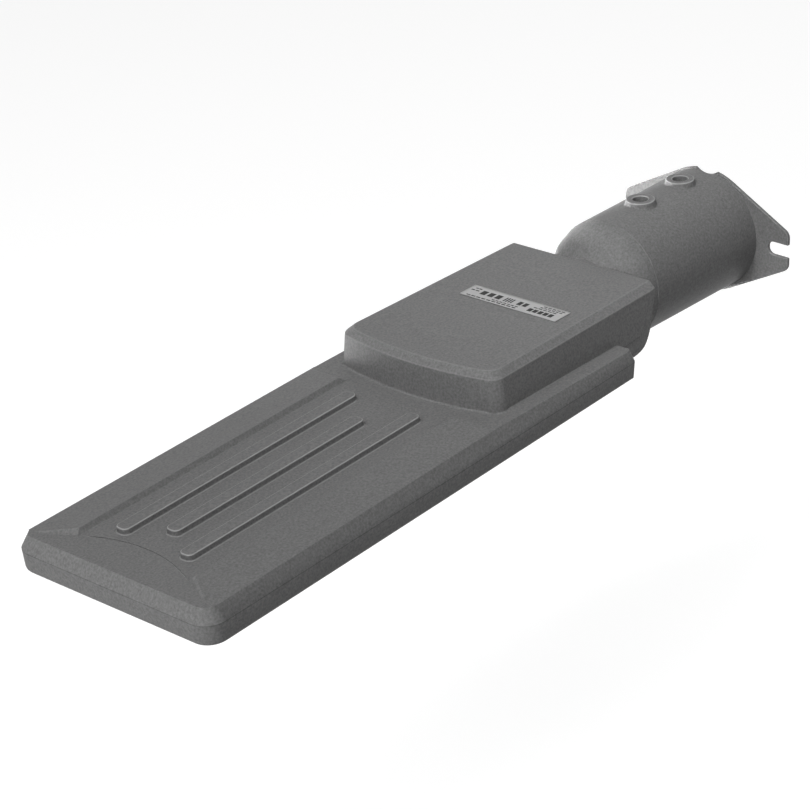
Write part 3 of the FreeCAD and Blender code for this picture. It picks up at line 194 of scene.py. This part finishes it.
# The label's film and print, in place of words: plain bars, each row (front, rear, from, to,
# bar, gap) in mm from the label's front left corner
FILM = (0.34, 0.34, 0.34)
FILM_ROUGHNESS = 0.4
FILM_METAL = 0.2
INK = (0.015, 0.015, 0.015)
LABEL_FRONT = -0.17818
LABEL_LEFT = 0.02605
PRINT_ROWS = (
    (0.9, 1.9, 3.5, 37.5, 2.6, 0.7),
    (2.7, 3.5, 19.0, 37.5, 1.9, 0.6),
    (2.2, 5.6, 42.0, 59.0, 2.6, 0.7),
    (4.7, 9.3, 24.5, 31.0, 0.9, 0.6),
    (4.9, 9.3, 9.0, 22.0, 3.4, 1.4),
    (5.0, 9.0, 33.0, 39.5, 2.6, 1.0),
    (9.3, 10.3, 3.0, 8.0, 1.8, 0.5),
    (6.9, 7.9, 2.0, 7.2, 2.2, 0.6),
    (6.9, 7.7, 43.0, 58.5, 2.4, 0.6),
    (8.6, 9.4, 46.0, 60.5, 1.8, 0.6),
    (10.2, 11.0, 47.0, 60.5, 2.2, 0.6),
)
CUT_REACH = 1e-8
FACES_UP = 0.5

# Lamps: place, the point aimed at, width, height, power in watts and spread in degrees
CENTRE = (-0.22, 0.0, 0.0)
SPIGOT = (-0.03, 0.0, 0.0)
LAMPS = {
    "front_softbox": ((-1.493, 0.0, 1.273), CENTRE, 1.2, 1.2, 18.6, 180),
    "high_softbox": ((-0.836, 0.0, 1.691), CENTRE, 1.2, 1.2, 4.2, 180),
    "right_softbox": ((-0.856, -0.636, 1.559), CENTRE, 1.2, 1.2, 12.0, 180),
    "rear_softbox": ((1.053, 0.0, 1.273), CENTRE, 1.2, 1.2, 3.0, 180),
    "low_front": ((-1.5, 0.0, -0.12), CENTRE, 1.0, 0.12, 7.2, 180),
    "right_side": ((-0.25, -1.2, 0.56), CENTRE, 0.8, 0.5, 2.9, 180),
    "spigot_softbox": ((-0.55, -0.08, 0.75), SPIGOT, 0.3, 0.3, 0.15, 26),
    "left_fill": ((-0.30, 0.45, -0.12), SPIGOT, 0.25, 0.25, 0.8, 26),
}

# Surround and floor, each with its strength as a light and its strength as a background
WHITE = (1, 1, 1, 1)
WORLD_DIM = 0.03
WORLD_BRIGHT = 1.0
FLOOR_DIM = 0.0
FLOOR_GLOW = 0.82
FLOOR_COLOUR = (0.36, 0.36, 0.36)
FLOOR_ROUGHNESS = 0.9
FLOOR_LEVEL = -0.25
FLOOR_HALF = 6.0
FLOOR_CORNERS = ((-1, -1), (1, -1), (1, 1), (-1, 1))


# Nodes and materials

def new_material(name):
    """A new material with its node tree and its Principled shader."""
    material = bpy.data.materials.new(name)
    material.use_nodes = True
    return material, material.node_tree, material.node_tree.nodes["Principled BSDF"]


def feed(tree, node, sockets):
    """Sets a node's inputs to values, or links them to other nodes' outputs."""
    for key, value in sockets.items():
        if isinstance(value, bpy.types.NodeSocket):
            tree.links.new(value, node.inputs[key])
        else:
            node.inputs[key].default_value = value


def add_node(tree, kind, sockets=None, **settings):
    """A new node with its settings and its inputs."""
    node = tree.nodes.new(kind)
    for key, value in settings.items():
        setattr(node, key, value)
    feed(tree, node, sockets or {})
    return node


def object_place(tree):
    """Where a point of the surface lies in the part's frame."""
    return add_node(tree, "ShaderNodeTexCoord").outputs["Object"]


def noise(tree, place, scale, detail, roughness):
    """A cloudy pattern fixed to the object."""
    sockets = {"Vector": place, "Scale": scale, "Detail": detail, "Roughness": roughness}
    return add_node(tree, "ShaderNodeTexNoise", sockets).outputs["Fac"]


def remap(tree, value, low, high, start=0.0, end=1.0):
    """A number taken from the range start to end into the range low to high."""
    sockets = {"Value": value, "From Min": start, "From Max": end, "To Min": low, "To Max": high}
    return add_node(tree, "ShaderNodeMapRange", sockets).outputs["Result"]


def maths(tree, operation, *operands):
    """The result of one operation on numbers or outputs."""
    sockets = dict(enumerate(operands))
    return add_node(tree, "ShaderNodeMath", sockets, operation=operation).outputs[0]


def scaled(tree, colour, factor):
    """A colour made darker or lighter."""
    sockets = {0: colour, "Scale": factor}
    return add_node(tree, "ShaderNodeVectorMath", sockets, operation="SCALE").outputs[0]


def blend(tree, share, first, second):
    """A colour between two others."""
    sockets = {0: share, 6: first, 7: second}
    return add_node(tree, "ShaderNodeMix", sockets, data_type="RGBA").outputs[2]


def shaded_parting_line(tree, place, colour):
    """Paints shade along the casting's parting line: a thin dark band round the plate just under
    its seam, as the shade under the bevel's lower edge.
    """
    spot = add_node(tree, "ShaderNodeSeparateXYZ", {0: place}).outputs
    level = maths(tree, "MULTIPLY_ADD", spot["X"], PARTING_FALL, spot["Z"])
    near = maths(tree, "COMPARE", level, PARTING_LEVEL, PARTING_HALF)
    on_plate = maths(tree, "LESS_THAN", spot["X"], PLATE_REAR)
    both = maths(tree, "MULTIPLY", near, on_plate)
    return scaled(tree, colour, remap(tree, both, 1.0, PARTING_SHADE))


def powder_coat(name):
    """Powder coat: an even colour with faint patches and flecks and a fine orange-peel grain,
    with painted highlights on its edges and painted shade along the parting line.
    """
    material, tree, shader = new_material(name)
    place = object_place(tree)
    grain = noise(tree, place, *GRAIN)
    cloud = noise(tree, place, *CLOUD)
    dark = [channel * (1 - PATCH) for channel in PAINT]
    light = [channel * (1 + PATCH) for channel in PAINT]
    patched = blend(tree, cloud, (*dark, 1), (*light, 1))
    # Each fleck of powder is a little lighter or darker than the next
    fleck = remap(tree, grain, 1 - SPECK, 1 + SPECK, SPECK_FROM, SPECK_TO)
    flecked = scaled(tree, patched, fleck)
    rough = remap(tree, grain, PAINT_ROUGHNESS - PAINT_SPREAD, PAINT_ROUGHNESS + PAINT_SPREAD)
    bevel = add_node(tree, "ShaderNodeBevel", {"Radius": EDGE_ROUND}, samples=EDGE_SAMPLES)
    soft = bevel.outputs["Normal"]
    peel = {"Strength": 1.0, "Distance": GRAIN_HEIGHT, "Height": grain, "Normal": soft}
    bump = add_node(tree, "ShaderNodeBump", peel).outputs[0]
    # Edges get a painted highlight: a lighter colour on the bevel faces, and where the shader's
    # rounding turns the normal away from the face's
    facing = add_node(tree, "ShaderNodeNewGeometry").outputs["Normal"]
    turn = add_node(tree, "ShaderNodeVectorMath", {0: facing, 1: soft}, operation="DOT_PRODUCT")
    edge = remap(tree, turn.outputs["Value"], 0.0, BOX_EDGE_HIGHLIGHT, HIGHLIGHT_STARTS, HIGHLIGHT_FULL)
    painted_edge_highlight = add_node(tree, "ShaderNodeAttribute", attribute_name="painted_edge_highlight").outputs["Fac"]
    highlight_amount = maths(tree, "MAXIMUM", edge, painted_edge_highlight)
    lighter = [channel * EDGE_HIGHLIGHT_GAIN for channel in PAINT]
    highlighted = blend(tree, highlight_amount, flecked, (*lighter, 1))
    feed(tree, shader, {
        "Base Color": shaded_parting_line(tree, place, highlighted),
        "Roughness": rough,
        "Specular IOR Level": PAINT_SPECULAR,
        "Normal": bump,
    })
    return material


def plain(name, colour, roughness, metallic=0.0, transmission=0.0):
    """A simple finish with slight unevenness in its gloss and a faint grain."""
    material, tree, shader = new_material(name)
    grain = noise(tree, object_place(tree), *FAINT_GRAIN)
    least = max(roughness - FAINT_SPREAD, LEAST_ROUGHNESS)
    rough = remap(tree, grain, least, roughness + FAINT_SPREAD)
    peel = {"Strength": 1.0, "Distance": FAINT_HEIGHT, "Height": grain}
    bump = add_node(tree, "ShaderNodeBump", peel).outputs[0]
    feed(tree, shader, {
        "Base Color": (*colour, 1),
        "Metallic": metallic,
        "Transmission Weight": transmission,
        "Roughness": rough,
        "Normal": bump,
    })
    return material


def printed_film(name):
    """Silver film whose marked faces carry dark print."""
    material = plain(name, FILM, FILM_ROUGHNESS, FILM_METAL)
    tree = material.node_tree
    mark = add_node(tree, "ShaderNodeAttribute", attribute_name="ink").outputs["Fac"]
    feed(tree, tree.nodes["Principled BSDF"], {
        "Base Color": blend(tree, mark, (*FILM, 1), (*INK, 1)),
        "Specular IOR Level": PAINT_SPECULAR,
    })
    return material


def white_to_lens(tree, dim, bright):
    """A strength that is bright for camera, glossy and transmission rays and dim for the rest."""
    path = add_node(tree, "ShaderNodeLightPath").outputs
    seen = path["Is Camera Ray"]
    for ray in ("Is Glossy Ray", "Is Transmission Ray"):
        seen = maths(tree, "MAXIMUM", seen, path[ray])
    return remap(tree, seen, dim, bright)


# Pieces of the scene

def linked(name, data):
    """A new object in the scene."""
    piece = bpy.data.objects.new(name, data)
    bpy.context.scene.collection.objects.link(piece)
    return piece


def stand_for(piece, node):
    """Puts a scene piece in place of a CAD node, with that node's slot and finish."""
    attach(piece, "root")
    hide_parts(node)
    piece.data.materials.clear()
    piece.data.materials.append(MATERIALS[slots[node]])


def welded(node):
    """A bmesh of a CAD node with its doubled vertices joined."""
    shape = bmesh.new()
    shape.from_mesh(frame["nodes"][node].data)
    bmesh.ops.remove_doubles(shape, verts=shape.verts, dist=WELD)
    return shape


def as_object(shape, name):
    """A new object from a bmesh, which is freed."""
    data = bpy.data.meshes.new(name)
    shape.to_mesh(data)
    shape.free()
    return linked(name, data)


def float_layer(elements, name):
    """A layer of numbers on a bmesh's edges or faces, which is new where there is none."""
    return elements.layers.float.get(name) or elements.layers.float.new(name)


def on_tube(spot):
    """How far along the tilted tube a spot lies, and how far above its axis."""
    run, rise = math.cos(SPIGOT_TILT), math.sin(SPIGOT_TILT)
    return spot.x * run - spot.z * rise, spot.z * run + spot.x * rise


def widened_rim(shape):
    """Draws the plate's lower wall out, so that it stands nearly upright below the seam."""
    grow = RIM_INSET - UPRIGHT_INSET
    core_x = PLATE_TIP + FRONT_CORNER
    core_y = PLATE_HALF - FRONT_CORNER
    for vertex in shape.verts:
        x, y, z = vertex.co
        past_y = math.copysign(max(abs(y) - core_y, 0.0), y)
        outer = abs(y) > WALL_HALF or x < core_x and math.hypot(x - core_x, past_y) > WALL_DEPTH
        if z > SEAM_LEVEL or x > PLATE_REAR or not outer:
            continue
        share = min(-z / RIM_DROP, 1.0)
        if x < core_x:
            vertex.co += Vector((x - core_x, past_y, 0.0)).normalized() * grow * share
        else:
            turned = min((abs(y) - WALL_HALF) / REAR_CORNER, 1.0)
            vertex.co.y = math.copysign(min(abs(y) + grow * share * turned, PLATE_HALF), y)


def straightened_dome(shape):
    """Gives the spigot's domed front end the straighter slope of the real one, above the box."""
    for vertex in shape.verts:
        x, y, z = vertex.co
        along, up = on_tube(vertex.co)
        share = (DOME_REAR - along) / DOME_LENGTH
        if not 0 < share < 1 or math.hypot(y, up) < DOME_CORE:
            continue
        lift = min(max((z - DOME_LOW) / DOME_RISE, 0.0), 1.0)
        pull = DOME_PULL * math.sin(math.pi * share) * lift
        centre = Vector((x, 0.0, -x * math.tan(SPIGOT_TILT)))
        vertex.co -= (vertex.co - centre).normalized() * pull


def rim_width(edge):
    """How wide an edge is rounded if it is the plate's lower edge."""
    ends = [vertex.co for vertex in edge.verts]
    low = all(end.z < RIM_LEVEL for end in ends)
    outside = all(abs(end.y) > RIM_HALF or end.x < RIM_TIP for end in ends)
    if not edge.is_manifold or not low or not outside:
        return 0.0
    if edge.calc_face_angle_signed(0.0) < RIM_BEND:
        return 0.0
    middle = (ends[0].x + ends[1].x) / 2
    left = 1 - (middle - CORNER_START) / CORNER_REACH
    return RIM_ROUND * min(left, 1.0) if left > LEAST_RIM else 0.0


def hidden_inside(spot):
    """True for the bays, the seats of the covers and the bore."""
    x, side, z = spot.x, abs(spot.y), spot.z
    in_lamp_bay = x < LAMP_BAY_REAR and side < LAMP_BAY_HALF and z < LAMP_BAY_TOP
    behind_driver_cover = DRIVER_BAY_FRONT < x < DRIVER_BAY_REAR
    in_driver_bay = behind_driver_cover and side < DRIVER_BAY_HALF and z < DRIVER_BAY_TOP
    _, up = on_tube(spot)
    in_bore = x > BORE_FRONT and math.hypot(spot.y, up) < BORE_RADIUS
    return in_lamp_bay or in_driver_bay or in_bore


def left_as_cast(spot):
    """True where the casting's edges aren't rounded."""
    x, side, z = spot.x, abs(spot.y), spot.z
    beside_neck = NECK_FRONT < x < NECK_REAR and side > NECK_HALF and z < NECK_TOP
    inner = FACET_HALF if x < FACET_REAR else LEDGE_HALF
    on_rim = z < PLATE_TOP and (x < TIP_BEVEL or side > inner)
    along, _ = on_tube(spot)
    at_dome_seam = abs(along - DOME_REAR) < DOME_SEAM
    return beside_neck or on_rim or at_dome_seam or hidden_inside(spot)


def soft_width(edge):
    """How wide an edge of the casting is rounded."""
    if not edge.is_manifold or edge.calc_length() < SHORTEST_EDGE:
        return 0.0
    bend = math.degrees(edge.calc_face_angle_signed(0.0))
    spot = (edge.verts[0].co + edge.verts[1].co) / 2
    if left_as_cast(spot) or not LEAST_BEND < abs(bend) < MOST_BEND:
        return 0.0
    if bend > 0:
        return EDGE_ROUND
    if JOIN_FRONT < spot.x < JOIN_REAR or spot.x > FLANGE_FRONT or spot.z < LOWEST_FILLET:
        return 0.0
    at_foot = BOX_FRONT < spot.x < BOX_REAR and spot.z < FOOT_TOP
    return FOOT_FILLET if at_foot else RIB_FILLET


def edge_highlight_share(spot, outer):
    """How strong an edge face's painted highlight is: most on the ribs and bosses, less on the
    box.
    """
    on_ribs = spot.x < RIBS_REAR
    on_boss = spot.x > BOSSES_FRONT and spot.z > BOSSES_LOW
    if outer:
        return 1.0 if on_ribs or on_boss else BOX_EDGE_HIGHLIGHT
    return FOOT_EDGE_HIGHLIGHT if on_ribs else 0.0


def bevelled(piece, width, steps):
    """Applies a bevel by edge weights, whose new faces go into the piece's second slot."""
    while len(piece.data.materials) < 2:
        piece.data.materials.append(None)
    rounding = piece.modifiers.new("rounding", "BEVEL")
    rounding.material = 1
    rounding.limit_method = "WEIGHT"
    rounding.width = width
    rounding.segments = steps
    rounding.use_clamp_overlap = False
    rounding.loop_slide = False
    depsgraph = bpy.context.evaluated_depsgraph_get()
    piece.data = bpy.data.meshes.new_from_object(piece.evaluated_get(depsgraph))
    piece.modifiers.clear()


def settled(piece, before, most, share):
    """Takes strayed vertices back to the surface before, and marks how strong each edge face's
    painted highlight is.
    """
    shape = bmesh.new()
    shape.from_mesh(piece.data)
    for vertex in shape.verts:
        place, _, _, distance = before.find_nearest(vertex.co)
        if distance > most:
            vertex.co = place
    mark = float_layer(shape.faces, "painted_edge_highlight")
    for face in shape.faces:
        face[mark] = 0.0
        if share and face.material_index == 1:
            centre = face.calc_center_median()
            place, normal, _, _ = before.find_nearest(centre)
            face[mark] = share(centre, (centre - place).dot(normal) < 0)
        face.material_index = 0
    shape.to_mesh(piece.data)
    shape.free()


def rounded(piece, widths, steps, share=None):
    """Rounds each edge of a piece by its own width, and marks the new faces by their share of
    painted highlight.
    """
    shape = bmesh.new()
    shape.from_mesh(piece.data)
    before = BVHTree.FromBMesh(shape)
    weights = float_layer(shape.edges, "bevel_weight_edge")
    spans = {edge: widths(edge) for edge in shape.edges}
    widest = max(spans.values())
    for edge, span in spans.items():
        edge[weights] = span / widest
    shape.to_mesh(piece.data)
    shape.free()
    bevelled(piece, widest, steps)
    settled(piece, before, widest * STRAY_SHARE, share)


def softened_casting(node):
    """A copy of the casting with rounded edges and small fillets at its feet."""
    shape = welded(node)
    bmesh.ops.dissolve_limit(shape, angle_limit=FLAT, verts=shape.verts, edges=shape.edges)
    widened_rim(shape)
    straightened_dome(shape)
    piece = as_object(shape, node + "_cast")
    if "custom_normal" in piece.data.attributes:
        piece.data.attributes.remove(piece.data.attributes["custom_normal"])
    rounded(piece, rim_width, RIM_STEPS)
    rounded(piece, soft_width, BEVEL_STEPS, edge_highlight_share)
    piece.data.shade_smooth()
    piece.data.set_sharp_from_angle(angle=SHARP)
    even = piece.modifiers.new("even", "WEIGHTED_NORMAL")
    even.keep_sharp = True
    return piece


def print_bars():
    """The front, rear, right and left side of each bar of the label's print."""
    bars = []
    for front, rear, start, end, bar, gap in PRINT_ROWS:
        for index in range(int((end - start + gap) / (bar + gap))):
            left = LABEL_LEFT - (start + index * (bar + gap)) / 1000
            right = left - bar / 1000
            bars.append((LABEL_FRONT + front / 1000, LABEL_FRONT + rear / 1000, right, left))
    return bars


def printed_label(node):
    """The rating label with the faces of its print cut out and marked."""
    bars = print_bars()
    shape = welded(node)
    levels_x = sorted({level for bar in bars for level in bar[:2]})
    levels_y = sorted({level for bar in bars for level in bar[2:]})
    cuts = [((x, 0, 0), (1, 0, 0)) for x in levels_x] + [((0, y, 0), (0, 1, 0)) for y in levels_y]
    for place, normal in cuts:
        everything = shape.verts[:] + shape.edges[:] + shape.faces[:]
        bmesh.ops.bisect_plane(shape, geom=everything, dist=CUT_REACH, plane_co=place,
                               plane_no=normal)
    ink = float_layer(shape.faces, "ink")
    for face in shape.faces:
        x, y, _ = face.calc_center_median()
        on_bar = any(front < x < rear and right < y < left for front, rear, right, left in bars)
        face[ink] = 1.0 if on_bar and face.normal.z > FACES_UP else 0.0
    return as_object(shape, node + "_film")


def area_light(name, place, aim, size_x, size_y, power, spread):
    """A rectangular softbox that looks at a point."""
    data = bpy.data.lights.new(name, "AREA")
    data.shape = "RECTANGLE"
    data.size = size_x
    data.size_y = size_y
    data.energy = power
    data.spread = math.radians(spread)
    lamp = linked(name, data)
    lamp.location = place
    lamp.rotation_mode = "QUATERNION"
    lamp.rotation_quaternion = (Vector(aim) - Vector(place)).to_track_quat("-Z", "Y")
    lamp.visible_camera = False


# Finishes of the CAD nodes, and the two pieces that stand for nodes
MATERIALS = {name: powder_coat(name) for name in ("housing_paint", "cover_paint")}
for name, finish in FINISHES.items():
    MATERIALS[name] = plain(name, *finish)
MATERIALS["label_film"] = printed_film("label_film")
slots = {piece["node"]: piece["material_slot"] for piece in frame["record"]["subparts"]}
for name, piece in frame["nodes"].items():
    piece.data.materials.clear()
    piece.data.materials.append(MATERIALS[slots[name]])
    piece.data.shade_smooth()
    piece.data.set_sharp_from_angle(angle=SHARP)
casting = softened_casting("housing")
stand_for(casting, "housing")
label = printed_label("rating_label")
stand_for(label, "rating_label")

# Light: softboxes above, in front, behind and at the right, low fills, and a white surround
for name, (place, aim, size_x, size_y, power, spread) in LAMPS.items():
    area_light(name, place, aim, size_x, size_y, power, spread)
world = bpy.data.worlds.new("surround")
bpy.context.scene.world = world
world.use_nodes = True
feed(world.node_tree, world.node_tree.nodes["Background"], {
    "Color": WHITE,
    "Strength": white_to_lens(world.node_tree, WORLD_DIM, WORLD_BRIGHT),
})

# A plain floor that looks pale from above and is seen through from below
floor_material, tree, shader = new_material("pale_floor")
feed(tree, shader, {
    "Base Color": (*FLOOR_COLOUR, 1),
    "Roughness": FLOOR_ROUGHNESS,
    "Specular IOR Level": 0.0,
    "Emission Color": WHITE,
    "Emission Strength": white_to_lens(tree, FLOOR_DIM, FLOOR_GLOW),
})
below = add_node(tree, "ShaderNodeNewGeometry").outputs["Backfacing"]
clear = add_node(tree, "ShaderNodeBsdfTransparent").outputs[0]
either = add_node(tree, "ShaderNodeMixShader", {0: below, 1: shader.outputs[0], 2: clear})
feed(tree, tree.nodes["Material Output"], {"Surface": either.outputs[0]})
floor_mesh = bpy.data.meshes.new("floor")
corners = [(x * FLOOR_HALF, y * FLOOR_HALF, FLOOR_LEVEL) for x, y in FLOOR_CORNERS]
floor_mesh.from_pydata(corners, [], [(0, 1, 2, 3)])
floor_mesh.materials.append(floor_material)
floor = linked("floor", floor_mesh)

camera_data = bpy.data.cameras.new("camera")
camera_data.sensor_width = SENSOR_MM
camera_data.lens = LENS_MM
camera_data.clip_start = CLIP_NEAR
camera_data.clip_end = CLIP_FAR
camera = linked("camera", camera_data)
rotation = Matrix((CAMERA_RIGHT, CAMERA_UP, CAMERA_BACK)).transposed()
camera.matrix_world = Matrix.Translation(CAMERA_PLACE) @ rotation.to_4x4()
bpy.context.scene.camera = camera
bpy.context.scene.view_settings.view_transform = "Standard"
